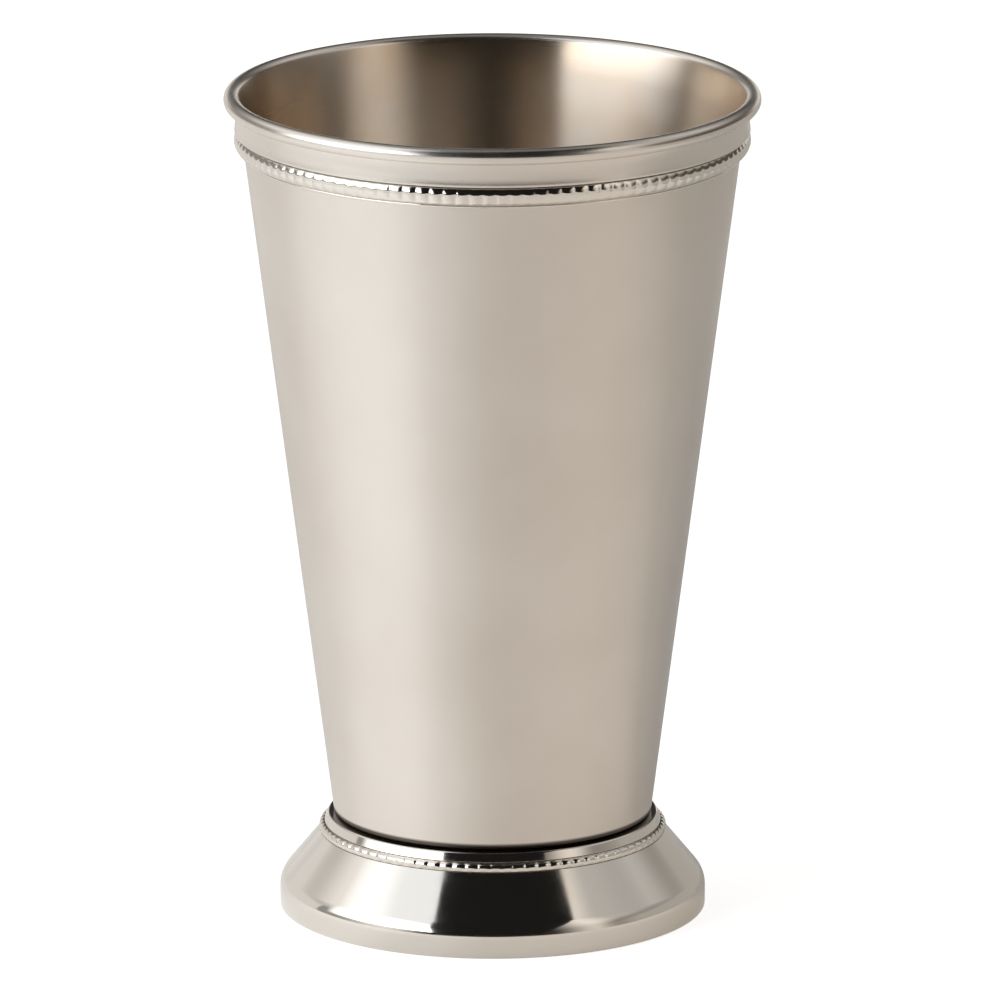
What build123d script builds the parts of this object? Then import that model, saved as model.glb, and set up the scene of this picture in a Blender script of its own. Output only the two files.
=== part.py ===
"""Footed julep cup: tapered cup with a rolled lip, a coved and beaded rim, and a hollow beaded foot."""

import math
import os

from build123d import *

os.makedirs("parts", exist_ok=True)

# Driving sizes, in millimetres, with z = 0 on the table
overall_height = 127.0
lip_diameter = 81.2
cup_base_diameter = 48.3
foot_diameter = 64.85
foot_height = 14.55

# Sheet, solder and clearance
cup_sheet = 0.8
foot_sheet = 0.9
inner_bend_radius = 0.2
solder_gap = 0.05
plate_clearance = 0.1

# Cup
lip_overhang = 2.65
lip_roll_diameter = 2.5
mouth_flare_height = 6.0

# Rim moulding
rim_band_height = 6.6
rim_band_setback = 1.6
rim_cove_depth = 0.12
rim_edge_radius = 0.3
rim_edge_stand = 1.05
rim_bead_diameter = 1.84
rim_bead_web = 0.65
rim_border_diameter = 0.5
rim_border_stand = 0.05

# Beaded wire, common to the rim and the foot
bead_gap = 0.15
bead_proportion = 0.75
bead_sides = 8
bead_rings = (0, 0.55, 0.92)
bead_margin = 0.25
dome_sink = 0.175

# Foot
ledge_width = 0.9
collar_height = 1.35
collar_spread = 0.6
collar_overhang = 0.25
collar_edge_radius = 0.4
collar_seat_width = 10.0
foot_bead_diameter = 1.71
foot_bead_web = 0.35
foot_bead_sink = 0.45
hem_height = 4.2
hem_shoulder_radius = 2.1
standing_width = 3.2
standing_edge_radius = 0.3
skirt_seat_width = 7.0

# Radii and heights worked out from the sizes above
lip_radius = lip_diameter / 2
roll_radius = lip_roll_diameter / 2
mouth_radius = lip_radius - lip_overhang
base_radius = cup_base_diameter / 2
foot_radius = foot_diameter / 2
cup_bend_radius = cup_sheet + inner_bend_radius
foot_bend_radius = foot_sheet + inner_bend_radius
cup_bottom_z = foot_height + solder_gap
flare_start_z = overall_height - mouth_flare_height
taper = (mouth_radius - base_radius) / (flare_start_z - cup_bottom_z)
taper_angle = math.degrees(math.atan(taper))


def wall_radius(z):
    """Outer radius of the straight wall at height z."""
    return base_radius + (z - cup_bottom_z) * taper


def spin(section):
    """Solid turned about the cup's axis from a section drawn as (radius, height)."""
    return revolve(Plane.XZ * section, Axis.Z)


def half_sheet(path, thickness):
    """Section of a sheet that lies to the left of the path."""
    return make_face(offset(path, amount=thickness, side=Side.LEFT).edges())


def ring_of_points(radius, count, z):
    """Corners of a level regular polygon whose flats face the directions of the polar pattern."""
    angles = [(i + 0.5) * 2 * math.pi / count for i in range(count)]
    return [(radius * math.cos(angle), radius * math.sin(angle), z) for angle in angles]


def bead_dome(bead_diameter):
    """Many-sided dome whose corners lie on a ball, with its foot sunk into the web."""
    foot = bead_diameter / 2
    height = foot * bead_proportion
    ball = (foot**2 + height**2) / (2 * height)
    corners = []
    for share in bead_rings:
        drop = ball - height * (1 - share)
        ring_radius = math.sqrt(ball**2 - drop**2)
        corners += ring_of_points(ring_radius, bead_sides, height * share - dome_sink)
    return ConvexPolyhedron(corners)


def beaded_wire(back_radius, z, slope, bead_diameter, web):
    """Ring of flats, one for each bead, on a conical back that spreads by slope per unit of fall."""
    lean = math.degrees(math.atan(slope))
    web_radius = back_radius + web * math.hypot(1, slope)
    count = int(2 * math.pi * web_radius / (bead_diameter + bead_gap))
    half_height = (bead_diameter / 2 + bead_margin) * math.cos(math.radians(lean))
    spread = half_height * slope
    corner = 1 / math.cos(math.pi / count)
    low_ring = ring_of_points((web_radius + spread) * corner, count, z - half_height)
    high_ring = ring_of_points((web_radius - spread) * corner, count, z + half_height)
    core = Pos(0, 0, z) * Cone(back_radius + spread, back_radius - spread, 2 * half_height)
    dome = bead_dome(bead_diameter)
    domes = []
    for place in PolarLocations(web_radius, count):
        domes.append(Pos(0, 0, z) * place * Rot(0, 90 - lean, 0) * dome)
    return ConvexPolyhedron(low_ring + high_ring) - core + domes


# Cup: bottom, tapered wall and flare in one sheet, then the rolled lip
roll_centre = Vector(lip_radius - roll_radius, overall_height - roll_radius)
flare_start = Vector(mouth_radius, flare_start_z)
flare_rise = roll_centre - flare_start
flare_angle = 2 * math.atan2(flare_rise.X, flare_rise.Y) - math.radians(taper_angle)
flare_normal = Vector(math.cos(flare_angle), -math.sin(flare_angle))
flare_end = roll_centre + flare_normal * (cup_sheet - roll_radius)
cup_wall = FilletPolyline(
    (0, cup_bottom_z), (base_radius, cup_bottom_z), flare_start, radius=cup_bend_radius
)
cup_flare = TangentArc(flare_start, flare_end, tangent=cup_wall % 1)
cup_section = half_sheet(cup_wall + cup_flare, cup_sheet)
cup_section += Pos(roll_centre) * Circle(roll_radius)
cup_clear = offset(cup_section, amount=solder_gap)
cup_body = spin(cup_section)

# Rim band: cove under the lip, rounded lower edge, back cut to the cup wall
band_bottom_z = overall_height - rim_band_height
band_edge_radius = wall_radius(band_bottom_z) + rim_edge_stand - rim_edge_radius
band_edge = Vector(band_edge_radius, band_bottom_z + rim_edge_radius)
cove_top = Vector(lip_radius - rim_band_setback, roll_centre.Y - roll_radius)
cove_foot = band_edge + Vector(rim_edge_radius, 0)
cove_chord = cove_top - cove_foot
cove_inward = Vector(-cove_chord.Y, cove_chord.X).normalized()
cove_middle = cove_foot + cove_chord / 2 + cove_inward * rim_cove_depth
band_outline = [
    ThreePointArc(cove_foot, cove_middle, cove_top),
    Polyline(
        cove_top,
        (cove_top.X, roll_centre.Y),
        flare_end - flare_normal * (cup_sheet / 2),
        (wall_radius(band_bottom_z) - cup_sheet / 2, band_bottom_z),
        (band_edge.X, band_bottom_z),
        band_edge,
        cove_foot,
    ),
]
band_section = make_face(band_outline) + Pos(band_edge) * Circle(rim_edge_radius)
band_section -= cup_clear
rim_band = spin(band_section)

# Rim beads: beaded wire on the cup wall under the band
rim_web_height = (rim_bead_diameter + 2 * bead_margin) * math.cos(math.radians(taper_angle))
rim_bead_z = band_bottom_z - solder_gap - rim_web_height / 2
rim_bead_back = wall_radius(rim_bead_z) + solder_gap
rim_bead_wire = beaded_wire(rim_bead_back, rim_bead_z, -taper, rim_bead_diameter, rim_bead_web)

# Rim border: half-round wire below the beads
border_radius = rim_border_diameter / 2
border_z = rim_bead_z - rim_web_height / 2 - solder_gap - border_radius
border_section = Pos(wall_radius(border_z) + rim_border_stand, border_z) * Circle(border_radius)
border_section -= cup_clear
rim_border_wire = spin(border_section)

# Foot skirt: flange, flare, shoulder, hem and standing edge in one sheet, with a channel for the beads
collar_radius = base_radius + ledge_width
collar_bottom_z = foot_height - collar_height
skirt_top_z = foot_height - foot_sheet - solder_gap
skirt_top_radius = collar_radius - collar_overhang
skirt_path = FilletPolyline(
    (foot_radius - standing_width, 0),
    (foot_radius, 0),
    (foot_radius, hem_height),
    (skirt_top_radius, skirt_top_z),
    (skirt_top_radius - skirt_seat_width, skirt_top_z),
    radius=(0, hem_shoulder_radius, foot_bend_radius),
)
skirt_section = half_sheet(skirt_path, foot_sheet)
skirt_clear = offset(skirt_section, amount=solder_gap)
standing_corner = skirt_section.vertices().sort_by_distance((foot_radius, 0))[0]
skirt_section = fillet(standing_corner, standing_edge_radius)
flare_slope = (foot_radius - skirt_top_radius) / (skirt_top_z - hem_height)
flare_stretch = math.hypot(1, flare_slope)
channel_top_z = collar_bottom_z
foot_web_height = (foot_bead_diameter + 2 * bead_margin) / flare_stretch
channel_bottom_z = channel_top_z - foot_web_height - 2 * solder_gap
channel_top_radius = skirt_top_radius + (skirt_top_z - channel_top_z) * flare_slope
channel_bottom_radius = skirt_top_radius + (skirt_top_z - channel_bottom_z) * flare_slope
channel_reach = foot_bead_sink * flare_stretch
channel_section = Polygon(
    (channel_top_radius + channel_reach, channel_top_z),
    (channel_top_radius - channel_reach, channel_top_z),
    (channel_bottom_radius - channel_reach, channel_bottom_z),
    (channel_bottom_radius + channel_reach, channel_bottom_z),
    align=None,
)
foot_skirt = spin(skirt_section - channel_section)

# Foot collar: cap over the top of the skirt, with a rim that spreads over its shoulder
collar_plate_z = foot_height - foot_sheet
collar_hole = collar_radius - collar_seat_width
collar_outline = FilletPolyline(
    (collar_hole, foot_height),
    (collar_radius, foot_height),
    (collar_radius + collar_spread, collar_bottom_z),
    (skirt_top_radius, collar_bottom_z),
    (skirt_top_radius, collar_plate_z),
    (collar_hole, collar_plate_z),
    radius=(collar_edge_radius, 0, 0, 0),
)
collar_section = make_face(collar_outline.edges() + [Line(collar_outline @ 1, collar_outline @ 0)])
collar_section -= skirt_clear
foot_collar = spin(collar_section)

# Foot beads: beaded wire in the channel
foot_bead_z = (channel_top_z + channel_bottom_z) / 2
channel_radius = (channel_top_radius + channel_bottom_radius) / 2
foot_bead_back = channel_radius - (foot_bead_sink - solder_gap) * flare_stretch
foot_bead_wire = beaded_wire(foot_bead_back, foot_bead_z, flare_slope, foot_bead_diameter, foot_bead_web)

# Base plate: disc inside the hem, resting on the turned-in edge
plate_radius = foot_radius - foot_sheet - plate_clearance
base_plate = Pos(0, 0, foot_sheet + solder_gap) * Cylinder(
    plate_radius, foot_sheet, align=(Align.CENTER, Align.CENTER, Align.MIN)
)

nodes = {
    "cup_body": cup_body,
    "rim_band": rim_band,
    "rim_bead_wire": rim_bead_wire,
    "rim_border_wire": rim_border_wire,
    "foot_collar": foot_collar,
    "foot_bead_wire": foot_bead_wire,
    "foot_skirt": foot_skirt,
    "base_plate": base_plate,
}
for name, solid in nodes.items():
    export_step(solid, f"parts/{name}.step")
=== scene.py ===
"""Looks of the footed julep cup: satin tapered wall, polished beaded rim and polished flared foot."""
import math

import bpy
import numpy as np
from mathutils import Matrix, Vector


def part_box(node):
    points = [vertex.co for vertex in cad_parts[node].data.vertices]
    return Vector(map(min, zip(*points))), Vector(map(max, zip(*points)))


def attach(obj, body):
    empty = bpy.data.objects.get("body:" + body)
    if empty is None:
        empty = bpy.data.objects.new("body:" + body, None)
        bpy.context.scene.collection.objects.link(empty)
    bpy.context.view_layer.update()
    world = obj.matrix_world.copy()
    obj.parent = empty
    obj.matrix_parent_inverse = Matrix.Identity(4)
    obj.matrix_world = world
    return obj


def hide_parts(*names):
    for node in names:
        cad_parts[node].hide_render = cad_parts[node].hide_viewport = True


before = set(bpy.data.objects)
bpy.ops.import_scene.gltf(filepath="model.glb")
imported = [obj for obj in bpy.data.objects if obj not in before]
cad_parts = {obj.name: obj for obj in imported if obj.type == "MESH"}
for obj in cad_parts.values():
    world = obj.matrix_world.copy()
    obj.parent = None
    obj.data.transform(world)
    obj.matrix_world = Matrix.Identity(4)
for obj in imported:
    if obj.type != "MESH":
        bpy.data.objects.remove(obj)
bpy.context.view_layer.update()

MM = 0.001

# How much higher the rim's beads reach, and the band above them stops, than in the frame
BEAD_REACH = 0.45 * MM

# Sizes taken from the frame
lip_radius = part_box("cup_body")[1].x
cup_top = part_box("cup_body")[1].z
cup_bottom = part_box("cup_body")[0].z
band_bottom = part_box("rim_band")[0].z + BEAD_REACH
rim_bead_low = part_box("rim_bead_wire")[0].z
rim_bead_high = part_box("rim_bead_wire")[1].z + BEAD_REACH
border_low, border_high = (corner.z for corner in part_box("rim_border_wire"))
collar_low, collar_high = (corner.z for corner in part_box("foot_collar"))
collar_spread_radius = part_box("foot_collar")[1].x
foot_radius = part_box("foot_skirt")[1].x
skirt_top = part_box("foot_skirt")[1].z
plate_low, plate_high = (corner.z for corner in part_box("base_plate"))
plate_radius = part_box("base_plate")[1].x

# Sizes of sheet, wire and mouldings that the frame's boxes don't give
CUP_SHEET = 0.8 * MM
FOOT_SHEET = 0.9 * MM
SOLDER = 0.05 * MM
INNER_BEND = 0.2 * MM
CUP_BASE_RADIUS = 24.15 * MM
LIP_OVERHANG = 2.65 * MM
MOUTH_FLARE = 6.0 * MM
ROLL_RADIUS = 1.25 * MM
BAND_SETBACK = 1.6 * MM
COVE_DEPTH = 0.12 * MM
BAND_EDGE_STAND = 1.05 * MM
BAND_EDGE_RADIUS = 0.3 * MM
LEDGE_WIDTH = 0.9 * MM
COLLAR_OVERHANG = 0.25 * MM
COLLAR_EDGE = 0.4 * MM
COLLAR_SEAT = 10.0 * MM
SKIRT_SEAT = 7.0 * MM
HEM_HEIGHT = 4.25 * MM
HEM_SHOULDER = 3.6 * MM
STANDING_WIDTH = 3.2 * MM
STANDING_EDGE = 0.3 * MM
FOOT_BEAD = 1.2 * MM
BEAD_MARGIN = 0.25 * MM
FOOT_BEAD_SINK = 0.45 * MM
RIM_BEAD_COUNT = 121
FOOT_BEAD_COUNT = 87
RIM_FACE_STAND = 0.55 * MM
RIM_CROWN = 1.25 * MM
FOOT_CROWN = 0.48 * MM
BEAD_DIP = 0.17 * MM
# Sizes of painted shade: across the foot's ledge, in a band at the foot of the wall, and under the band's
# lower edge
CREASE_WIDTH = 0.3 * MM
CREASE_HEIGHT = 1.4 * MM
CREASE_EDGE = 0.5 * MM
BAND_SHADE_HEIGHT = 0.25 * MM
BAND_SHADE_EDGE = 0.2 * MM
EDGE_EASE = 0.06 * MM
ON_AXIS = 1e-7

# Strength of the painted shade in the recesses: at the band's lower edge, and at the low and high edge of
# each beaded wire
BAND_SHADE = 0.6
RIM_EDGE_SHADE = (0.3, 0.4)
FOOT_EDGE_SHADE = (0.0, 0.2)

# Steps of the grids and sweep of the beaded wires to each side
TURNS = 288
ARC_STEP = math.radians(7)
BEAD_STEPS = 8
RIB_POINTS = 13
FLARE_POINTS = 15
COVE_POINTS = 17
RIM_SWEEP = math.radians(58)
FOOT_SWEEP = math.radians(50)


def unit(vector):
    """Vector divided by its own length."""
    return vector / np.hypot(*vector)


def left_of(direction):
    """Direction turned a quarter to the left: (x, y) becomes (-y, x)."""
    return np.array([-direction[1], direction[0]])


def turned(vectors, angles):
    """Each vector turned by its angle: (x cos a - y sin a, x sin a + y cos a)."""
    c, s = np.cos(angles), np.sin(angles)
    return np.stack([vectors[0] * c - vectors[1] * s, vectors[0] * s + vectors[1] * c], -1)


def straight(start, end):
    """Points start + t (end - start), closer together near the ends, and their left normals."""
    t = np.array([0.0, 0.005, 0.02, 0.1, 0.3, 0.5, 0.7, 0.9, 0.98, 0.995, 1.0])[:, None]
    points = start + t * (end - start)
    return points, np.broadcast_to(left_of(unit(end - start)), points.shape)


def arc(start, direction, radius, turn):
    """Points centre + (start - centre) turned by t * turn, from start along direction, and their left
    normals."""
    side = math.copysign(1.0, turn)
    normal = left_of(direction)
    centre = start + normal * radius * side
    angles = np.linspace(0, turn, max(4, math.ceil(abs(turn) / ARC_STEP) + 1))
    return centre + turned(start - centre, angles), turned(normal, angles)


def joined(runs):
    """Runs of points and normals laid end to end, each but the first without its first point, which repeats
    the last."""
    points = np.concatenate([runs[0][0]] + [run[0][1:] for run in runs[1:]])
    normals = np.concatenate([runs[0][1]] + [run[1][1:] for run in runs[1:]])
    return points, normals


def rounded_path(corners, radii):
    """Straight runs between the corners, with an arc of each radius that touches both sides of its
    corner."""
    corners = [np.array(corner, float) for corner in corners]
    runs = []
    start = corners[0]
    for corner, after, radius in zip(corners[1:-1], corners[2:], radii):
        d0, d1 = unit(corner - start), unit(after - corner)
        turn = math.atan2(d0[0] * d1[1] - d0[1] * d1[0], d0 @ d1)
        entry = corner - d0 * radius * math.tan(abs(turn) / 2)
        runs += [straight(start, entry), arc(entry, d0, radius, turn)]
        start = runs[-1][0][-1]
    return joined(runs + [straight(start, corners[-1])])


def moved_left(corners, distance):
    """Corners of the path moved to its left: each slides along the sum of its sides' normals n and m by the
    distance over 1 + n.m, and the ends slide along their one normal."""
    corners = np.array(corners, float)
    sides = np.diff(corners, axis=0)
    normals = np.stack([-sides[:, 1], sides[:, 0]], -1) / np.hypot(*sides.T)[:, None]
    before, after = np.concatenate([normals[:1], normals]), np.concatenate([normals, normals[-1:]])
    return corners + (before + after) * distance / (1 + (before * after).sum(-1, keepdims=True))


def tangent_arc(start, direction, end):
    """Arc that leaves start along direction and passes through end: the turn is twice the chord's angle."""
    chord = end - start
    turn = 2 * math.atan2(direction[0] * chord[1] - direction[1] * chord[0], direction @ chord)
    radius = np.hypot(*chord) / (2 * math.sin(abs(turn) / 2))
    side = math.copysign(1.0, turn)
    normal = left_of(direction)
    centre = start + normal * radius * side
    angles = np.linspace(0, turn, FLARE_POINTS)
    return centre + turned(start - centre, angles), turned(normal, angles)


def circle_run(centre, radius, first, last):
    """Points centre + radius (cos a, sin a) for a from first to last."""
    count = max(4, math.ceil(abs(last - first) / ARC_STEP) + 1)
    angles = np.linspace(first, last, count)
    return centre + radius * np.stack([np.cos(angles), np.sin(angles)], -1)


def turned_grid(profile, closed):
    """Surface of revolution: point (u, v) is profile point v turned by u of a full turn about the cup's
    axis. The profile is the same all round, or has one row of points for each step of u. A profile that
    starts or ends on the axis gets one pole there. Gives vertices, faces, uv and profile index."""
    profile = np.asarray(profile, float)
    rows = profile if profile.ndim == 3 else np.broadcast_to(profile, (TURNS, *profile.shape))
    turns, profile = len(rows), rows[0]
    poles = [k for k in (0, len(profile) - 1) if profile[k, 0] < ON_AXIS]
    rings = np.delete(np.arange(len(profile)), poles)
    reach = np.concatenate([[0], np.cumsum(np.hypot(*np.diff(profile, axis=0).T))])
    u = np.arange(turns) * 2 * np.pi / turns
    r, z = rows[:, rings, 0], rows[:, rings, 1]
    vertices = np.stack([np.cos(u)[:, None] * r, np.sin(u)[:, None] * r, z], -1).reshape(-1, 3)
    n = len(rings)
    i = np.arange(turns)[:, None]
    j = np.arange(n if closed else n - 1)[None, :]
    i1, j1 = (i + 1) % turns, (j + 1) % n
    quads = np.stack(np.broadcast_arrays(i * n + j, i1 * n + j, i1 * n + j1, i * n + j1), -1)
    quads = quads.reshape(-1, 4)
    quad_u = np.stack(np.broadcast_arrays(i + 0 * j, i + 1 + 0 * j, i + 1 + 0 * j, i + 0 * j), -1)
    v_low = reach[rings][j + 0 * i]
    v_high = np.where(j + 1 < n, reach[rings][np.minimum(j + 1, n - 1)], reach[-1]) + 0.0 * i
    quad_v = np.stack([v_low, v_low, v_high, v_high], -1)
    quad_uv = np.stack([quad_u / turns, quad_v / reach[-1]], -1).reshape(-1, 2)
    row_of_face = np.broadcast_to(rings[j[0]], (turns, j.shape[1])).reshape(-1)
    triangles, triangle_uv, triangle_row = [], [], []
    k = np.arange(turns)
    for pole in poles:
        tip = np.full(turns, len(vertices))
        vertices = np.concatenate([vertices, [[0, 0, profile[pole, 1]]]])
        ring = 0 if pole == 0 else n - 1
        here, there = k * n + ring, ((k + 1) % turns) * n + ring
        triangles.append(np.stack([tip, there, here] if pole == 0 else [here, there, tip], -1))
        v_pole, v_ring = reach[pole] / reach[-1], reach[rings[ring]] / reach[-1]
        across = np.stack([k + 0.5, k + 1, k] if pole == 0 else [k, k + 1, k + 0.5], -1) / turns
        along = [v_pole, v_ring, v_ring] if pole == 0 else [v_ring, v_ring, v_pole]
        triangle_uv.append(np.stack([across, np.broadcast_to(along, across.shape)], -1).reshape(-1, 2))
        triangle_row.append(np.full(turns, rings[ring] if pole else 0))
    faces = [quads] + triangles
    uv = np.concatenate([quad_uv] + triangle_uv)
    return vertices, faces, uv, np.concatenate([row_of_face] + triangle_row)


def mesh_piece(name, vertices, faces, uv, painted_shade=None):
    """One object at the origin from whole arrays: vertices, face corner indices by block, uv by corner."""
    mesh = bpy.data.meshes.new(name)
    corners = np.concatenate([block.reshape(-1) for block in faces]).astype(np.int32)
    sizes = np.concatenate([np.full(len(block), block.shape[1]) for block in faces])
    starts = np.concatenate([[0], np.cumsum(sizes)[:-1]]).astype(np.int32)
    mesh.vertices.add(len(vertices))
    mesh.vertices.foreach_set("co", np.ascontiguousarray(vertices, np.float32).ravel())
    mesh.loops.add(len(corners))
    mesh.loops.foreach_set("vertex_index", corners)
    mesh.polygons.add(len(sizes))
    mesh.polygons.foreach_set("loop_start", starts)
    mesh.polygons.foreach_set("use_smooth", np.ones(len(sizes), bool))
    mesh.uv_layers.new(name="turning").data.foreach_set("uv", np.ascontiguousarray(uv, np.float32).ravel())
    # Amount of painted shade for each vertex, stored as a mesh attribute
    shade = np.zeros(len(vertices), np.float32) if painted_shade is None else painted_shade.astype(np.float32)
    mesh.attributes.new("painted_shade", "FLOAT", "POINT").data.foreach_set("value", shade)
    mesh.update(calc_edges=True)
    mesh.validate()
    piece = bpy.data.objects.new(name, mesh)
    bpy.context.scene.collection.objects.link(piece)
    return piece


def turned_piece(name, profile, closed, painted_shade=None):
    """Piece turned from a profile; the painted shade mask gives one value for each profile point."""
    vertices, faces, uv, rows = turned_grid(profile, closed)
    shade = None
    if painted_shade is not None:
        kept = profile[:, 0] > ON_AXIS
        shade = np.tile(painted_shade[kept], TURNS)
        shade = np.concatenate([shade, np.zeros(len(vertices) - len(shade))])
    return mesh_piece(name, vertices, faces, uv, shade), rows


def beaded_rib(name, back_low, low, high, back_high, crown, sweep, count, recess_shade):
    """Beaded wire: a rounded rib on the face from low to high, turned about the axis. Rib point (u, v) is the
    face's middle plus h outwards and w sin v / sin V along the face, where V is the sweep to each side, w is
    half the face's width, and h is the crown times (cos v - cos V) / (1 - cos V). Between the beads the rib
    is lower by the dip times s squared times that same share, where s goes from -1 to 1 across each bead.
    Recess gives the painted shade at the low and high edges."""
    corners = [np.array(corner) for corner in (back_low, low, high, back_high)]
    face = corners[2] - corners[1]
    along, outward = unit(face), -left_of(unit(face))
    v = np.linspace(-sweep, sweep, RIB_POINTS)
    share = (np.cos(v) - math.cos(sweep)) / (1 - math.cos(sweep))
    across = np.sin(v) / math.sin(sweep) * np.hypot(*face) / 2
    s = np.linspace(-1, 1, BEAD_STEPS, endpoint=False)
    height = (crown - BEAD_DIP * np.tile(s**2, count)[:, None]) * share
    rib = corners[1] + face / 2 + across[:, None] * along + height[:, :, None] * outward
    turns = len(rib)
    ends = [np.broadcast_to(corner, (turns, 1, 2)) for corner in (corners[0], corners[3])]
    vertices, faces, uv, _ = turned_grid(np.concatenate([ends[0], rib, ends[1]], 1), True)
    # Painted shade, strongest at the rib's edges where it meets the wall
    depth = np.concatenate([[1], 1 - share, [1]]) ** 3
    depth *= np.linspace(*recess_shade, len(depth))
    return mesh_piece(name, vertices, faces, uv, np.tile(depth, turns))


# Cup: outside from the axis up to the lip, the rolled lip, and the inside back to the axis
mouth_radius = lip_radius - LIP_OVERHANG
flare_start = np.array([mouth_radius, cup_top - MOUTH_FLARE])
taper = (mouth_radius - CUP_BASE_RADIUS) / (flare_start[1] - cup_bottom)
taper_angle = math.atan(taper)
roll_centre = np.array([lip_radius - ROLL_RADIUS, cup_top - ROLL_RADIUS])
flare_rise = roll_centre - flare_start
flare_angle = 2 * math.atan2(flare_rise[0], flare_rise[1]) - taper_angle
flare_normal = np.array([math.cos(flare_angle), -math.sin(flare_angle)])
flare_end = roll_centre + flare_normal * (CUP_SHEET - ROLL_RADIUS)
wall_corners = [(0, cup_bottom), (CUP_BASE_RADIUS, cup_bottom), flare_start]
wall = rounded_path(wall_corners, [CUP_SHEET + INNER_BEND])
wall_direction = unit(np.array([taper, 1.0]))
flare = tangent_arc(flare_start, wall_direction, flare_end)
cup_outside, cup_normals = joined([wall, flare])
cup_inside = (cup_outside + cup_normals * CUP_SHEET)[::-1]
cup_inside[-1, 0] = 0
clear_of_roll = np.hypot(*(cup_outside - roll_centre).T) > ROLL_RADIUS
cup_outside, cup_normals = cup_outside[clear_of_roll], cup_normals[clear_of_roll]
roll_first = math.atan2(*(cup_outside[-1] - roll_centre)[::-1])
lip_roll = circle_run(roll_centre, ROLL_RADIUS, roll_first, math.pi - flare_angle)
cup_profile = np.concatenate([cup_outside, lip_roll[1:], cup_inside[1:]])
# Painted shade: the wall goes dark in a band above its bottom edge, where it meets the foot's ledge
cup_painted_shade = np.clip((cup_bottom + CREASE_HEIGHT - cup_profile[:, 1]) / CREASE_EDGE, 0, 1)
cup_painted_shade[len(cup_outside):] = 0
cup, cup_rows = turned_piece("satin_cup", cup_profile, False, cup_painted_shade)
lip_first = len(cup_outside) - 1
inside_first = lip_first + len(lip_roll) - 1
cup_zone = (cup_rows >= lip_first) + (cup_rows >= inside_first).astype(np.int32)


def wall_radius(z):
    """Outer radius of the straight wall at height z: base radius plus taper times height."""
    return CUP_BASE_RADIUS + (z - cup_bottom) * taper


# Rim band: lower edge, cove, seat under the roll, and back along the flare
edge_radius = wall_radius(band_bottom) + BAND_EDGE_STAND - BAND_EDGE_RADIUS
edge_centre = np.array([edge_radius, band_bottom + BAND_EDGE_RADIUS])
band_edge = circle_run(edge_centre, BAND_EDGE_RADIUS, -math.pi / 2, 0)
cove_top = np.array([lip_radius - BAND_SETBACK, roll_centre[1] - ROLL_RADIUS])
cove_share = np.linspace(0, 1, COVE_POINTS)[:, None]
cove_chord = cove_top - band_edge[-1]
cove_hollow = 4 * cove_share * (1 - cove_share) * COVE_DEPTH
cove = band_edge[-1] + cove_share * cove_chord + cove_hollow * left_of(unit(cove_chord))
seat_radius = ROLL_RADIUS + SOLDER
seat_first = -math.acos((cove_top[0] - roll_centre[0]) / seat_radius)
seat_last = roll_first + 2 * ARC_STEP
roll_seat = circle_run(roll_centre, seat_radius, seat_first, seat_last)
band_back = (cup_outside - cup_normals * SOLDER)[::-1]
above_edge = band_back[:, 1] > band_bottom + EDGE_EASE
below_seat = np.hypot(*(band_back - roll_centre).T) > seat_radius + EDGE_EASE
band_foot = np.array([[wall_radius(band_bottom) + SOLDER, band_bottom]])
band_profile = np.concatenate([band_foot, band_edge, cove[1:], roll_seat, band_back[above_edge & below_seat]])
# Painted shade at the band's lower edge, above the beads
band_depth = (band_bottom + BAND_SHADE_HEIGHT - band_profile[:, 1]) / BAND_SHADE_EDGE
band_painted_shade = BAND_SHADE * np.clip(band_depth, 0, 1)
band, _ = turned_piece("coved_band", band_profile, True, band_painted_shade)

# Rim beads and the plain border below them
rim_back_low = (wall_radius(rim_bead_low) + SOLDER, rim_bead_low)
rim_back_high = (wall_radius(rim_bead_high) + SOLDER, rim_bead_high)
rim_face_low = (rim_back_low[0] + RIM_FACE_STAND, rim_bead_low)
rim_face_high = (rim_back_high[0] + RIM_FACE_STAND, rim_bead_high)
rim_beads = beaded_rib(
    "rim_beads", rim_back_low, rim_face_low, rim_face_high, rim_back_high,
    RIM_CROWN - RIM_FACE_STAND, RIM_SWEEP, RIM_BEAD_COUNT, RIM_EDGE_SHADE,
)
border_z = (border_low + border_high) / 2
border_centre = np.array([wall_radius(border_z) + SOLDER, border_z])
border_profile = circle_run(border_centre, (border_high - border_low) / 2, -math.pi / 2, math.pi / 2)
border, _ = turned_piece("rim_border", border_profile, True)

# Foot: flange, flare with its bead channel, shoulder, hem and standing edge
collar_radius = CUP_BASE_RADIUS + LEDGE_WIDTH
skirt_top_radius = collar_radius - COLLAR_OVERHANG
flare_slope = (foot_radius - skirt_top_radius) / (skirt_top - HEM_HEIGHT)
flare_stretch = math.hypot(1, flare_slope)
channel_high = collar_low
channel_low = channel_high - (FOOT_BEAD + 2 * BEAD_MARGIN) / flare_stretch - 2 * SOLDER
channel_reach = FOOT_BEAD_SINK * flare_stretch
foot_bend = FOOT_SHEET + INNER_BEND
standing = (foot_radius - STANDING_WIDTH, 0)
flange = (skirt_top_radius - SKIRT_SEAT, skirt_top)


def skirt_radius(z):
    """Outer radius of the flare at height z: top radius plus slope times the fall."""
    return skirt_top_radius + (skirt_top - z) * flare_slope


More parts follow.
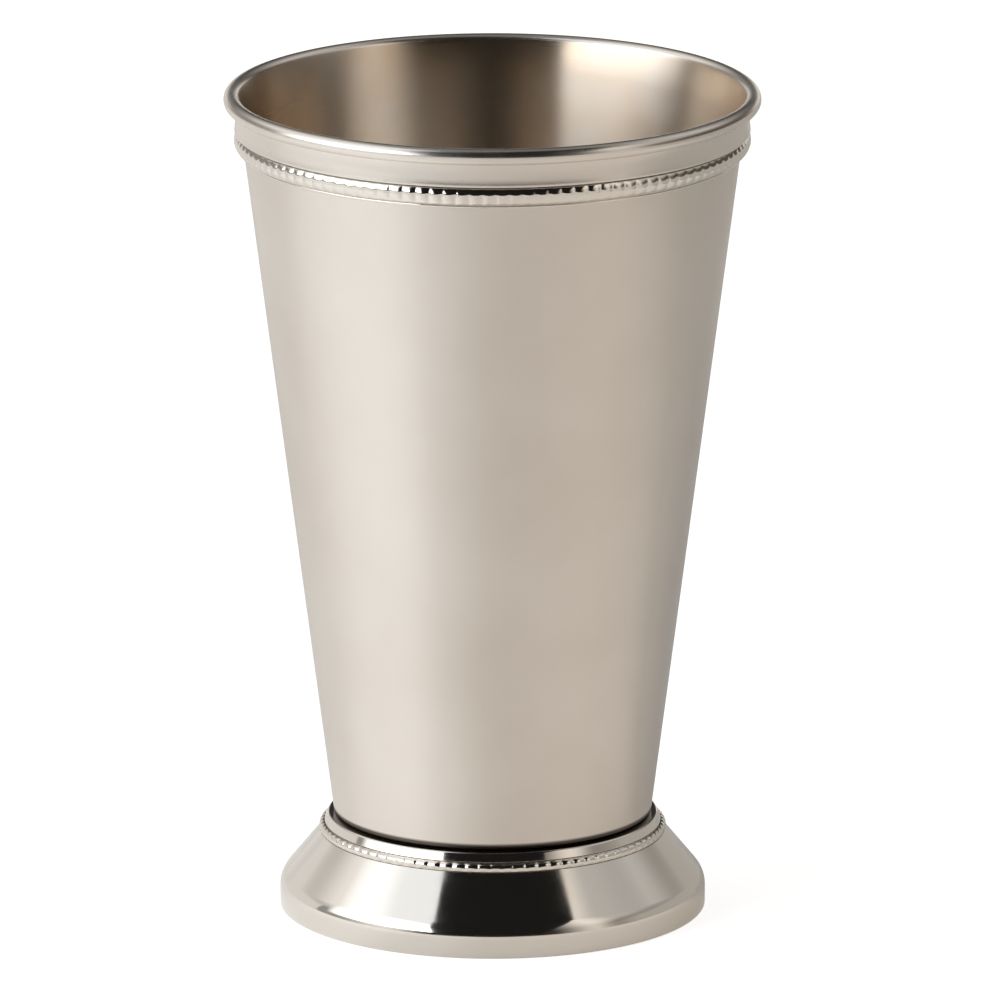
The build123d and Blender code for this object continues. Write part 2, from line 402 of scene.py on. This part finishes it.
hem_foot, hem_top = (foot_radius, 0), (foot_radius, HEM_HEIGHT)
skirt_corners = [standing, hem_foot, hem_top, (skirt_top_radius, skirt_top), flange]
skirt_plain, skirt_normals = rounded_path(skirt_corners, [STANDING_EDGE, HEM_SHOULDER, foot_bend])
inside_corners = moved_left(skirt_corners, FOOT_SHEET)
skirt_inside, _ = rounded_path(inside_corners, [INNER_BEND, HEM_SHOULDER - FOOT_SHEET, INNER_BEND])
skirt_outside, _ = rounded_path(
    [
        standing,
        hem_foot,
        hem_top,
        (skirt_radius(channel_low), channel_low),
        (skirt_radius(channel_low) - channel_reach, channel_low),
        (skirt_radius(channel_high) - channel_reach, channel_high),
        (skirt_radius(channel_high), channel_high),
    ],
    [STANDING_EDGE, HEM_SHOULDER, EDGE_EASE, EDGE_EASE, EDGE_EASE],
)
above_channel = (skirt_plain[:, 1] > channel_high) & (skirt_plain[:, 0] < skirt_radius(channel_high))
skirt_profile = np.concatenate([skirt_outside, skirt_plain[above_channel], skirt_inside[::-1]])
skirt, _ = turned_piece("flared_foot", skirt_profile, True)

# Collar: seat plate on the skirt's shoulder, spreading rim, ledge under the cup
shoulder = (skirt_plain - skirt_normals * SOLDER)[::-1]
on_shoulder = (shoulder[:, 1] > collar_low) & (shoulder[:, 0] > collar_radius - COLLAR_SEAT)
collar_rim, _ = rounded_path(
    [
        (skirt_radius(collar_low) + SOLDER * flare_stretch, collar_low),
        (collar_spread_radius, collar_low),
        (collar_radius, collar_high),
        (collar_radius - COLLAR_SEAT, collar_high),
    ],
    [EDGE_EASE, COLLAR_EDGE],
)
collar_hole = np.array([[collar_radius - COLLAR_SEAT, collar_high - FOOT_SHEET]])
collar_profile = np.concatenate([collar_hole, shoulder[on_shoulder], collar_rim])
# Painted shade: the ledge goes dark next to the cup's base, in the groove between cup and foot
collar_painted_shade = np.clip((CUP_BASE_RADIUS + CREASE_WIDTH - collar_profile[:, 0]) / CREASE_WIDTH, 0, 1)
collar, _ = turned_piece("foot_ledge", collar_profile, True, collar_painted_shade)

# Foot beads in the channel, and the disc that closes the foot
web_high, web_low = channel_high - SOLDER, channel_low + SOLDER
channel_back = channel_reach - SOLDER * flare_stretch
foot_beads = beaded_rib(
    "foot_beads",
    (skirt_radius(web_low) - channel_back, web_low),
    (skirt_radius(web_low), web_low),
    (collar_spread_radius, web_high),
    (skirt_radius(web_high) - channel_back, web_high),
    FOOT_CROWN, FOOT_SWEEP, FOOT_BEAD_COUNT, FOOT_EDGE_SHADE,
)
plate_corners = [(0, plate_low), (plate_radius, plate_low), (plate_radius, plate_high), (0, plate_high)]
plate_profile, _ = rounded_path(plate_corners, [EDGE_EASE, EDGE_EASE])
plate, _ = turned_piece("base_disc", plate_profile, False)

# Finishes: steps of lines and clouds per metre, and how far they move the gloss and the surface
SATIN_LINES = (25.0, 5200.0)
SATIN_CLOUDS = 45.0
SATIN_CLOUD_GLOSS = (-0.02, 0.02)
SATIN_LINE_DEPTH = 0.02 * MM
POLISH_LINES = (120.0, 1800.0)
POLISH_CLOUDS = 160.0
POLISH_CLOUD_GLOSS = (-0.015, 0.02)
POLISH_LINE_DEPTH = 0.01 * MM
POLISH_LINE_STRENGTH = 0.06
RECESS_MATT = 0.35
QUARTER_TURN = 0.25


def node(tree, kind, **inputs):
    """Shader node of one kind with its plain socket values set by name."""
    made = tree.nodes.new(kind)
    for socket, value in inputs.items():
        made.inputs[socket.replace("_", " ")].default_value = value
    return made


def metal(name, colour, roughness, anisotropy=0.0):
    """Bare metal shader with constant sockets for colour, gloss and grain."""
    material = bpy.data.materials.new(name)
    material.use_nodes = True
    tree = material.node_tree
    shader = tree.nodes["Principled BSDF"]
    shader.inputs["Metallic"].default_value = 1.0
    shader.inputs["Base Color"].default_value = (*colour, 1)
    shader.inputs["Roughness"].default_value = roughness
    shader.inputs["Anisotropic"].default_value = anisotropy
    return material, tree, shader


def turning_lines(tree, along, across):
    """Noise drawn out round the axis: fine steps in height plus radius, long steps in x and y."""
    place = node(tree, "ShaderNodeTexCoord")
    split = node(tree, "ShaderNodeSeparateXYZ")
    tree.links.new(place.outputs["Object"], split.inputs[0])
    flat = node(tree, "ShaderNodeCombineXYZ")
    tree.links.new(split.outputs["X"], flat.inputs["X"])
    tree.links.new(split.outputs["Y"], flat.inputs["Y"])
    radius = tree.nodes.new("ShaderNodeVectorMath")
    radius.operation = "LENGTH"
    tree.links.new(flat.outputs[0], radius.inputs[0])
    height = tree.nodes.new("ShaderNodeMath")
    height.operation = "ADD"
    tree.links.new(split.outputs["Z"], height.inputs[0])
    tree.links.new(radius.outputs["Value"], height.inputs[1])
    stretched = node(tree, "ShaderNodeCombineXYZ")
    tree.links.new(split.outputs["X"], stretched.inputs["X"])
    tree.links.new(split.outputs["Y"], stretched.inputs["Y"])
    tree.links.new(height.outputs[0], stretched.inputs["Z"])
    scaled = node(tree, "ShaderNodeMapping")
    scaled.inputs["Scale"].default_value = (along, along, across)
    tree.links.new(stretched.outputs[0], scaled.inputs["Vector"])
    noise = node(tree, "ShaderNodeTexNoise", Scale=1.0, Detail=4.0, Roughness=0.6)
    tree.links.new(scaled.outputs[0], noise.inputs["Vector"])
    return noise.outputs["Fac"]


def patches(tree, scale, detail=3.0):
    """Plain noise on Object coordinates."""
    place = node(tree, "ShaderNodeTexCoord")
    noise = node(tree, "ShaderNodeTexNoise", Scale=scale, Detail=detail, Roughness=0.55)
    tree.links.new(place.outputs["Object"], noise.inputs["Vector"])
    return noise.outputs["Fac"]


def mapped(tree, value, low, high, from_low=0.3, from_high=0.7):
    """Value taken from one range to another along a straight line, held at the ends."""
    span = node(tree, "ShaderNodeMapRange")
    span.inputs["From Min"].default_value = from_low
    span.inputs["From Max"].default_value = from_high
    span.inputs["To Min"].default_value = low
    span.inputs["To Max"].default_value = high
    tree.links.new(value, span.inputs["Value"])
    return span.outputs["Result"]


def total(tree, first, second):
    """Sum of two values."""
    made = tree.nodes.new("ShaderNodeMath")
    made.operation = "ADD"
    tree.links.new(first, made.inputs[0])
    tree.links.new(second, made.inputs[1])
    return made.outputs[0]


def tinted(tree, factor, clean, dull):
    """Colour from clean, a colour or a socket, to the colour dull as the factor goes from 0 to 1."""
    mix = tree.nodes.new("ShaderNodeMix")
    mix.data_type = "RGBA"
    if isinstance(clean, tuple):
        mix.inputs["A"].default_value = (*clean, 1)
    else:
        tree.links.new(clean, mix.inputs["A"])
    mix.inputs["B"].default_value = (*dull, 1)
    tree.links.new(factor, mix.inputs["Factor"])
    return mix.outputs["Result"]


def painted_shade_amount(tree):
    """Amount of painted shade read from the mesh attribute: 0 in the open, 1 in the crease."""
    recess_shade = node(tree, "ShaderNodeAttribute")
    recess_shade.attribute_name = "painted_shade"
    return mapped(tree, recess_shade.outputs["Fac"], 0.0, 1.0, 0.3, 1.0)


def raised(tree, shader, value, strength, distance):
    """Bump of the shader's normal from a value."""
    bump = node(tree, "ShaderNodeBump", Strength=strength, Distance=distance)
    tree.links.new(value, bump.inputs["Height"])
    tree.links.new(bump.outputs["Normal"], shader.inputs["Normal"])


def round_grain(tree, shader):
    """Grain that runs round the cup, so highlights are drawn out up and down the wall."""
    tangent = tree.nodes.new("ShaderNodeTangent")
    tangent.direction_type = "UV_MAP"
    tangent.uv_map = "turning"
    tree.links.new(tangent.outputs[0], shader.inputs["Tangent"])
    shader.inputs["Anisotropic Rotation"].default_value = QUARTER_TURN


def satin_metal(name, colour, dull, gloss_low, gloss_high, anisotropy, depth):
    """Satin turned finish: fine lines round the axis vary the gloss and raise the surface, with faint cloudy
    dulling, and creases darkened by painted shade."""
    material, tree, shader = metal(name, colour, gloss_low, anisotropy)
    lines = turning_lines(tree, *SATIN_LINES)
    clouds = patches(tree, SATIN_CLOUDS)
    gloss = total(tree, mapped(tree, lines, gloss_low, gloss_high), mapped(tree, clouds, *SATIN_CLOUD_GLOSS))
    tree.links.new(gloss, shader.inputs["Roughness"])
    clouded = tinted(tree, mapped(tree, clouds, 0.0, 1.0), colour, dull)
    # Painted shade: the colour goes to the dark shade colour in creases, following the mask
    tree.links.new(tinted(tree, painted_shade_amount(tree), clouded, PAINTED_SHADE_COLOUR), shader.inputs["Base Color"])
    raised(tree, shader, lines, depth, SATIN_LINE_DEPTH)
    round_grain(tree, shader)
    return material


def polished_metal(name, colour, gloss_low, gloss_high):
    """Polished finish: faint wiping marks vary the gloss, and recesses are matt and darkened by painted
    shade.
    """
    material, tree, shader = metal(name, colour, gloss_low)
    wipes = turning_lines(tree, *POLISH_LINES)
    clouds = patches(tree, POLISH_CLOUDS)
    depth = painted_shade_amount(tree)
    matt = mapped(tree, depth, 0.0, RECESS_MATT, 0.0, 1.0)
    gloss = total(tree, mapped(tree, wipes, gloss_low, gloss_high), matt)
    gloss = total(tree, gloss, mapped(tree, clouds, *POLISH_CLOUD_GLOSS))
    tree.links.new(gloss, shader.inputs["Roughness"])
    # Painted shade: the colour goes dark in recesses, following the mask; the matt roughness there is a real
    # finish
    tree.links.new(tinted(tree, depth, colour, PAINTED_SHADE_COLOUR), shader.inputs["Base Color"])
    raised(tree, shader, wipes, POLISH_LINE_STRENGTH, POLISH_LINE_DEPTH)
    return material


# Colours of the metal, and the five finishes
NICKEL = (0.78, 0.725, 0.66)
NICKEL_DULL = (0.74, 0.68, 0.61)
# Same nickel made browner and darker for the inside, as painted shade standing in for light bouncing in the
# bowl; the base disc uses it as its dull cloud tone
NICKEL_BROWN_SHADE_AND_DULL = (0.705, 0.56, 0.41)
POLISHED = (0.79, 0.745, 0.68)
# Dark colour painted into creases and recesses as shade
PAINTED_SHADE_COLOUR = (0.12, 0.10, 0.085)

wall_finish = satin_metal(
    "satin_wall", NICKEL, NICKEL_DULL, gloss_low=0.30, gloss_high=0.35, anisotropy=0.5, depth=0.10
)
inside_finish_and_shade = satin_metal(
    "satin_inside_shaded", NICKEL_BROWN_SHADE_AND_DULL, NICKEL_DULL, gloss_low=0.28, gloss_high=0.32, anisotropy=0.9, depth=0.08
)
rim_finish = polished_metal("polished_rim", NICKEL, gloss_low=0.22, gloss_high=0.26)
trim_finish = polished_metal("polished_trim", POLISHED, gloss_low=0.07, gloss_high=0.11)
sheet_finish = satin_metal(
    "plain_sheet", NICKEL_DULL, NICKEL_BROWN_SHADE_AND_DULL, gloss_low=0.30, gloss_high=0.38, anisotropy=0.4, depth=0.12
)

pieces = [
    (cup, [wall_finish, rim_finish, inside_finish_and_shade], "cup_body", "satin_body"),
    (band, [rim_finish], "rim_band", "polished_trim"),
    (rim_beads, [trim_finish], "rim_bead_wire", "polished_trim"),
    (border, [trim_finish], "rim_border_wire", "polished_trim"),
    (collar, [trim_finish], "foot_collar", "polished_trim"),
    (foot_beads, [trim_finish], "foot_bead_wire", "polished_trim"),
    (skirt, [trim_finish], "foot_skirt", "polished_trim"),
    (plate, [sheet_finish], "base_plate", "base_sheet"),
]
for piece, finishes, cad_node, slot in pieces:
    for finish in finishes:
        piece.data.materials.append(finish)
    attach(piece, "root")
    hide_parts(cad_node)
cup.data.polygons.foreach_set("material_index", cup_zone.astype(np.int32))

# Studio: pale floor, surround, a soft light on the left, low cards by the foot and a dark card in front
CARD_RISE = (0.15, 0.55)
GREEN_SHARE = 0.5
NO_FADE = 0.001
scene = bpy.context.scene
scene.view_settings.view_transform = "Standard"


def flat_sheet(name, corners):
    """Single quad through four corners in order, with its UV map going from 0 to 1 across and up."""
    mesh = bpy.data.meshes.new(name)
    mesh.from_pydata([tuple(corner) for corner in corners], [], [(0, 1, 2, 3)])
    mesh.uv_layers.new(name="sheet").data.foreach_set("uv", [0, 0, 1, 0, 1, 1, 0, 1])
    sheet = bpy.data.objects.new(name, mesh)
    scene.collection.objects.link(sheet)
    return sheet


def pointing(azimuth, elevation):
    """Unit vector from the cup; azimuth is from the camera's side, to the right, and both are in degrees."""
    a, e = math.radians(azimuth), math.radians(elevation)
    return Vector((math.sin(a) * math.cos(e), -math.cos(a) * math.cos(e), math.sin(e)))


def facing_card(name, distance, facing, corners, colour, low_strength, high_strength, side_fade, top_fade):
    """Flat glowing card across the facing direction, cut to the four corner directions: left low, right low,
    right high, left high. Its strength goes from low to high up the card, and it goes clear over the side
    fade's share of its width at the left and the top fade's share of its height."""
    back = pointing(*facing)
    rays = [pointing(*corner) for corner in corners]
    centre = Vector((0, 0, cup_top / 2))
    card = flat_sheet(name, [centre + ray * (distance / ray.dot(back)) for ray in rays])
    material = bpy.data.materials.new(name)
    material.use_nodes = True
    tree = material.node_tree
    tree.nodes.clear()
    place = node(tree, "ShaderNodeTexCoord")
    split = node(tree, "ShaderNodeSeparateXYZ")
    tree.links.new(place.outputs["UV"], split.inputs[0])
    clear = node(tree, "ShaderNodeBsdfTransparent")
    glow = node(tree, "ShaderNodeEmission")
    strength = mapped(tree, split.outputs["Y"], low_strength, high_strength, *CARD_RISE)
    tree.links.new(strength, glow.inputs["Strength"])
    glow.inputs["Color"].default_value = (*colour, 1)
    choose = node(tree, "ShaderNodeMixShader")
    out = node(tree, "ShaderNodeOutputMaterial")
    solid = tree.nodes.new("ShaderNodeMath")
    solid.operation = "MULTIPLY"
    tree.links.new(mapped(tree, split.outputs["X"], 0.0, 1.0, 0.0, side_fade), solid.inputs[0])
    tree.links.new(mapped(tree, split.outputs["Y"], 1.0, 0.0, 1.0 - top_fade, 1.0), solid.inputs[1])
    tree.links.new(solid.outputs[0], choose.inputs["Fac"])
    tree.links.new(clear.outputs[0], choose.inputs[1])
    tree.links.new(glow.outputs[0], choose.inputs[2])
    tree.links.new(choose.outputs[0], out.inputs["Surface"])
    card.data.materials.append(material)
    card.visible_camera = False
    return card


def by_azimuth(tree, direction, levels):
    """Colour by azimuth from the camera's side, in degrees to the right, eased between the listed angles.
    Each angle has its level and its warmth. Gives the colour and the direction's height."""
    split = node(tree, "ShaderNodeSeparateXYZ")
    tree.links.new(direction, split.inputs[0])
    toward = tree.nodes.new("ShaderNodeMath")
    toward.operation = "MULTIPLY"
    toward.inputs[1].default_value = -1.0
    tree.links.new(split.outputs["Y"], toward.inputs[0])
    azimuth = tree.nodes.new("ShaderNodeMath")
    azimuth.operation = "ARCTAN2"
    tree.links.new(split.outputs["X"], azimuth.inputs[0])
    tree.links.new(toward.outputs[0], azimuth.inputs[1])
    ramp = tree.nodes.new("ShaderNodeValToRGB")
    ramp.color_ramp.interpolation = "EASE"
    for angle, (level, warmth) in levels.items():
        stop = ramp.color_ramp.elements.new((angle + 180) / 360)
        stop.color = (level, level * (1 - GREEN_SHARE * warmth), level * (1 - warmth), 1)
    for end in (0, -1):
        ramp.color_ramp.elements.remove(ramp.color_ramp.elements[end])
    tree.links.new(mapped(tree, azimuth.outputs[0], 0.0, 1.0, -math.pi, math.pi), ramp.inputs["Fac"])
    return ramp.outputs["Color"], split.outputs["Z"]


# Level and warmth by azimuth, of the floor as metal sees it, with a painted pool of light on the left and
# painted shadow on the right, and of the surround at three heights
NEAR_FLOOR_LIGHT_AND_SHADOW = {
    -179: (0.16, 0.10),
    -150: (0.34, 0.06),
    -120: (0.42, 0.04),
    -75: (0.62, 0.00),
    -50: (0.64, 0.00),
    -25: (0.47, 0.06),
    0: (0.35, 0.20),
    48: (0.40, 0.20),
    85: (0.38, 0.18),
    110: (0.20, 0.15),
    140: (0.06, 0.10),
    179: (0.10, 0.10),
}
FAR_FLOOR = {
    -179: (0.34, 0.08),
    -120: (0.36, 0.06),
    -75: (0.28, 0.04),
    -50: (0.24, 0.08),
    -25: (0.32, 0.12),
    0: (0.38, 0.20),
    48: (0.38, 0.20),
    100: (0.34, 0.18),
    179: (0.34, 0.10),
}
HORIZON_LEVELS = {
    -179: (0.90, 0.08),
    -160: (0.86, 0.06),
    -143: (0.28, 0.06),
    -120: (0.28, 0.06),
    -95: (0.36, 0.04),
    -60: (0.95, 0.02),
    -31: (0.03, 0.10),
    32: (0.03, 0.10),
    58: (0.75, 0.12),
    75: (0.16, 0.30),
    100: (0.08, 0.35),
    135: (0.10, 0.30),
    160: (1.00, 0.08),
    179: (0.90, 0.08),
}
LOW_LEVELS = {
    -179: (0.03, 0.10),
    -160: (0.15, 0.05),
    -140: (0.28, 0.06),
    -120: (0.28, 0.06),
    -95: (0.36, 0.04),
    -60: (0.95, 0.02),
    -31: (0.03, 0.10),
    32: (0.03, 0.10),
    58: (0.75, 0.12),
    75: (0.16, 0.30),
    100: (0.08, 0.35),
    125: (0.10, 0.30),
    150: (0.06, 0.15),
    179: (0.03, 0.10),
}
HIGH_LEVELS = {
    -179: (0.06, 0.10),
    -165: (0.30, 0.06),
    -150: (0.60, 0.05),
    -128: (1.00, 0.03),
    -60: (0.98, 0.02),
    -32: (0.06, 0.10),
    30: (0.06, 0.10),
    60: (1.00, 0.12),
    80: (0.55, 0.06),
    102: (0.48, 0.04),
    125: (0.68, 0.04),
    150: (0.36, 0.06),
    179: (0.06, 0.10),
}

# Floor: pale paint, lifted to white for the camera; for the metal it glows by azimuth with a painted pool of
# light on the left and painted shadow on the right, and is dimmer close to the foot as a painted contact
# shadow
FLOOR_REACH = 4.0
FLOOR_PAINT = (0.70, 0.69, 0.675, 1)
WHITE_LIFT = 0.8
NEAR_TO_FAR = (0.28, 0.5)
FOOT_PAINTED_SHADOW = 0.75
DIMMED_TO_FULL = (0.034, 0.056)
floor_corners = [(-1, -1, 0), (1, -1, 0), (1, 1, 0), (-1, 1, 0)]
floor = flat_sheet("floor", [Vector(corner) * FLOOR_REACH for corner in floor_corners])
floor_material = bpy.data.materials.new("pale_floor")
floor_material.use_nodes = True
tree = floor_material.node_tree
tree.nodes.clear()
paint = node(tree, "ShaderNodeBsdfDiffuse")
paint.inputs["Color"].default_value = FLOOR_PAINT
place = node(tree, "ShaderNodeTexCoord")
near_level, _ = by_azimuth(tree, place.outputs["Object"], NEAR_FLOOR_LIGHT_AND_SHADOW)
far_level, _ = by_azimuth(tree, place.outputs["Object"], FAR_FLOOR)
distance = tree.nodes.new("ShaderNodeVectorMath")
distance.operation = "LENGTH"
tree.links.new(place.outputs["Object"], distance.inputs[0])
spread = tree.nodes.new("ShaderNodeMix")
spread.data_type = "RGBA"
tree.links.new(mapped(tree, distance.outputs["Value"], 0.0, 1.0, *NEAR_TO_FAR), spread.inputs["Factor"])
tree.links.new(near_level, spread.inputs["A"])
tree.links.new(far_level, spread.inputs["B"])
rays = node(tree, "ShaderNodeLightPath")
mirrored = total(tree, rays.outputs["Is Glossy Ray"], rays.outputs["Is Transmission Ray"])
white_lift = node(tree, "ShaderNodeEmission", Strength=WHITE_LIFT)
glow_lift = node(tree, "ShaderNodeEmission")
# Painted contact shadow: the glow seen in the metal is dimmer close to the foot
glow_strength = mapped(tree, distance.outputs["Value"], FOOT_PAINTED_SHADOW, 1.0, *DIMMED_TO_FULL)
tree.links.new(glow_strength, glow_lift.inputs["Strength"])
tree.links.new(spread.outputs["Result"], glow_lift.inputs["Color"])
seen = node(tree, "ShaderNodeMixShader")
met = node(tree, "ShaderNodeMixShader")
both = node(tree, "ShaderNodeAddShader")
out = node(tree, "ShaderNodeOutputMaterial")
tree.links.new(mirrored, met.inputs["Fac"])
tree.links.new(glow_lift.outputs[0], met.inputs[2])
tree.links.new(rays.outputs["Is Camera Ray"], seen.inputs["Fac"])
tree.links.new(met.outputs[0], seen.inputs[1])
tree.links.new(white_lift.outputs[0], seen.inputs[2])
tree.links.new(paint.outputs[0], both.inputs[0])
tree.links.new(seen.outputs[0], both.inputs[1])
tree.links.new(both.outputs[0], out.inputs["Surface"])
floor.data.materials.append(floor_material)

# Surround: level by azimuth at the horizon, low and high, mixed by the direction's height, and dim overhead
HORIZON_TO_LOW = (0.10, 0.20)
LOW_TO_HIGH = (0.3, 0.55)
HIGH_TO_OVERHEAD = (0.8, 0.95)
OVERHEAD = (0.20, 0.196, 0.19, 1)
world = bpy.data.worlds.new("surround")
world.use_nodes = True
scene.world = world
tree = world.node_tree
tree.nodes.clear()
place = node(tree, "ShaderNodeTexCoord")
horizon_level, height = by_azimuth(tree, place.outputs["Generated"], HORIZON_LEVELS)
low_level, _ = by_azimuth(tree, place.outputs["Generated"], LOW_LEVELS)
high_level, _ = by_azimuth(tree, place.outputs["Generated"], HIGH_LEVELS)
lifting = tree.nodes.new("ShaderNodeMix")
lifting.data_type = "RGBA"
tree.links.new(mapped(tree, height, 0.0, 1.0, *HORIZON_TO_LOW), lifting.inputs["Factor"])
tree.links.new(horizon_level, lifting.inputs["A"])
tree.links.new(low_level, lifting.inputs["B"])
rising = tree.nodes.new("ShaderNodeMix")
rising.data_type = "RGBA"
tree.links.new(mapped(tree, height, 0.0, 1.0, *LOW_TO_HIGH), rising.inputs["Factor"])
tree.links.new(lifting.outputs["Result"], rising.inputs["A"])
tree.links.new(high_level, rising.inputs["B"])
overhead = tree.nodes.new("ShaderNodeMix")
overhead.data_type = "RGBA"
overhead.inputs["B"].default_value = OVERHEAD
tree.links.new(mapped(tree, height, 0.0, 1.0, *HIGH_TO_OVERHEAD), overhead.inputs["Factor"])
tree.links.new(rising.outputs["Result"], overhead.inputs["A"])
surround = node(tree, "ShaderNodeBackground")
out = node(tree, "ShaderNodeOutputWorld")
tree.links.new(overhead.outputs["Result"], surround.inputs["Color"])
tree.links.new(surround.outputs[0], out.inputs["Surface"])

# Cards: corner directions in degrees of azimuth and elevation, left low, right low, right high, left high
LIGHT_CORNERS = [(-100, 6), (-12, 6), (-12, 62), (-128, 62)]
LEFT_CORNERS = [(-164, -12), (-104, -12), (-104, 14), (-164, 14)]
RIGHT_CORNERS = [(58, -9), (160, -9), (160, 11), (58, 11)]
DARK_CORNERS = [(-31, 2), (25, 2), (108, 64), (-52, 64)]
facing_card(
    "soft_light", distance=1.1, facing=(-66, 30), corners=LIGHT_CORNERS, colour=(0.96, 1, 1.05),
    low_strength=3.5, high_strength=1.12, side_fade=0.3, top_fade=NO_FADE,
)
facing_card(
    "left_card", distance=0.27, facing=(-134, 0), corners=LEFT_CORNERS, colour=(0.80, 0.79, 0.77),
    low_strength=1.0, high_strength=1.0, side_fade=0.4, top_fade=0.4,
)
facing_card(
    "right_card", distance=0.27, facing=(109, 0), corners=RIGHT_CORNERS, colour=(0.46, 0.44, 0.41),
    low_strength=1.0, high_strength=1.0, side_fade=0.3, top_fade=0.4,
)
facing_card(
    "dark_card", distance=0.8, facing=(10, 35), corners=DARK_CORNERS, colour=(0.012, 0.0115, 0.011),
    low_strength=1.0, high_strength=1.0, side_fade=NO_FADE, top_fade=NO_FADE,
)

# Camera: fitted to the outlines of the lip, the wall and the foot, looking down by the pitch in degrees
CAMERA_SENSOR = 36
CAMERA_LENS = 575.1
CAMERA_PLACE = (0.00114, -2.350, 0.6614)
CAMERA_PITCH = 14.281
camera = bpy.data.objects.new("camera", bpy.data.cameras.new("camera"))
camera.data.sensor_width = CAMERA_SENSOR
camera.data.lens = CAMERA_LENS
camera.location = CAMERA_PLACE
camera.rotation_euler = (math.radians(90 - CAMERA_PITCH), 0, 0)
scene.collection.objects.link(camera)
scene.camera = camera
